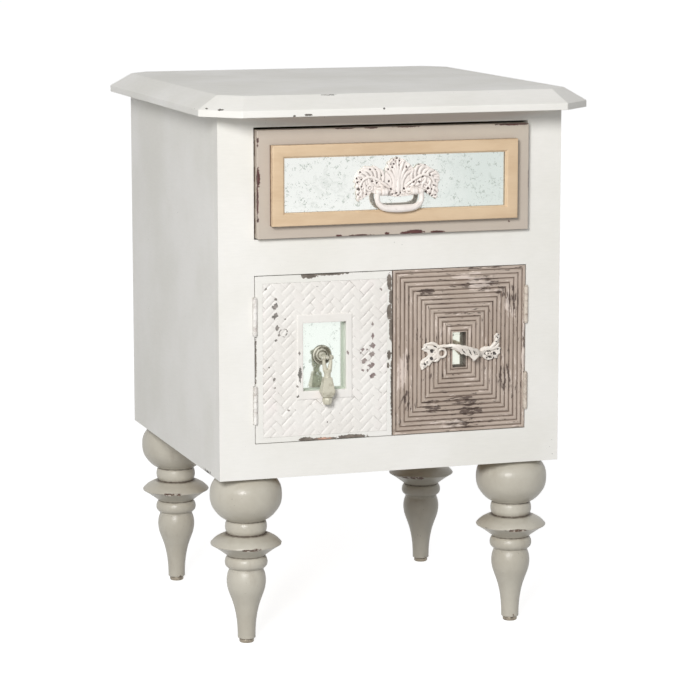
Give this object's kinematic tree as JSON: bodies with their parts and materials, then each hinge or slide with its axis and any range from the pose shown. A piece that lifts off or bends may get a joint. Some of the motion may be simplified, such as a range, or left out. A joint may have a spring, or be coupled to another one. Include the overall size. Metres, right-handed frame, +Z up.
{
  "type": "accent chest",
  "caption": "Small painted cabinet on turned legs, with a mirrored drawer over a woven-relief door and a ridged door.",
  "frame": {"origin": "on the floor, under the middle of the top panel", "axes": "+Z up, the front with the drawer and doors faces -Y, +X to the viewer's right"},
  "size_m": [0.516, 0.5486, 0.711],
  "materials": {
    "white_paint": "distressed white paint",
    "taupe_paint": "distressed taupe paint",
    "greige_paint": "satin greige paint",
    "gilt": "pale gilt paint",
    "bare_wood": "unfinished",
    "antique_mirror": "antiqued",
    "painted_casting": "distressed white paint over a casting",
    "aged_metal": "worn pale metal",
    "hinge_steel": "dull"
  },
  "bodies": {
    "case": {"back_panel": "bare_wood", "bottom_panel": "bare_wood", "corner_block_front_left": "bare_wood", "corner_block_front_right": "bare_wood", "corner_block_rear_left": "bare_wood", "corner_block_rear_right": "bare_wood", "divider_panel": "bare_wood", "door_stop": "bare_wood", "drawer_kicker_left": "bare_wood", "drawer_kicker_right": "bare_wood", "drawer_runner_left": "bare_wood", "drawer_runner_right": "bare_wood", "glide_front_left": "aged_metal", "glide_front_right": "aged_metal", "glide_rear_left": "aged_metal", "glide_rear_right": "aged_metal", "hinge_left_lower_frame_leaf": "hinge_steel", "hinge_left_lower_pin": "hinge_steel", "hinge_left_upper_frame_leaf": "hinge_steel", "hinge_left_upper_pin": "hinge_steel", "hinge_right_lower_frame_leaf": "hinge_steel", "hinge_right_lower_pin": "hinge_steel", "hinge_right_upper_frame_leaf": "hinge_steel", "hinge_right_upper_pin": "hinge_steel", "leg_front_left": "greige_paint", "leg_front_right": "greige_paint", "leg_rear_left": "greige_paint", "leg_rear_right": "greige_paint", "rail_bottom": "white_paint", "rail_middle": "white_paint", "rail_top": "white_paint", "side_left": "white_paint", "side_right": "white_paint", "stile_left": "white_paint", "stile_right": "white_paint", "top_panel": "white_paint"},
    "drawer": {"drawer_back": "bare_wood", "drawer_bottom": "bare_wood", "drawer_front": "greige_paint", "drawer_mirror": "antique_mirror", "drawer_moulding": "gilt", "drawer_pull_plate": "painted_casting", "drawer_side_left": "bare_wood", "drawer_side_right": "bare_wood"},
    "drawer_bail": {"drawer_pull_bail": "painted_casting"},
    "left_door": {"hinge_left_lower_door_leaf": "hinge_steel", "hinge_left_upper_door_leaf": "hinge_steel", "left_door_backer": "bare_wood", "left_door_board": "white_paint", "left_door_mirror": "antique_mirror", "left_door_rosette": "aged_metal", "left_door_weave": "white_paint"},
    "left_drop": {"left_door_drop": "aged_metal"},
    "right_door": {"hinge_right_lower_door_leaf": "hinge_steel", "hinge_right_upper_door_leaf": "hinge_steel", "right_door_backer": "bare_wood", "right_door_handle": "painted_casting", "right_door_mirror": "antique_mirror", "right_door_panel": "taupe_paint"}
  },
  "joints": [
    {"name": "drawer_slide", "type": "slide", "parent": "case", "child": "drawer", "axis": [0, -1, 0], "range_m": [0, 0.3]},
    {"name": "drawer_bail_swing", "type": "hinge", "parent": "drawer", "child": "drawer_bail", "pos_m": [0, -0.24225, 0.586], "axis": [-1, 0, 0], "range_deg": [0, 85]},
    {"name": "left_door_swing", "type": "hinge", "parent": "case", "child": "left_door", "pos_m": [-0.1825, -0.21685, 0.3756], "axis": [0, 0, -1], "range_deg": [0, 110]},
    {"name": "left_drop_swing", "type": "hinge", "parent": "left_door", "child": "left_drop", "pos_m": [-0.09025, -0.22555, 0.37635], "axis": [-1, 0, 0], "range_deg": [0, 80]},
    {"name": "right_door_swing", "type": "hinge", "parent": "case", "child": "right_door", "pos_m": [0.1825, -0.21685, 0.3756], "axis": [0, 0, 1], "range_deg": [0, 110]}
  ]
}
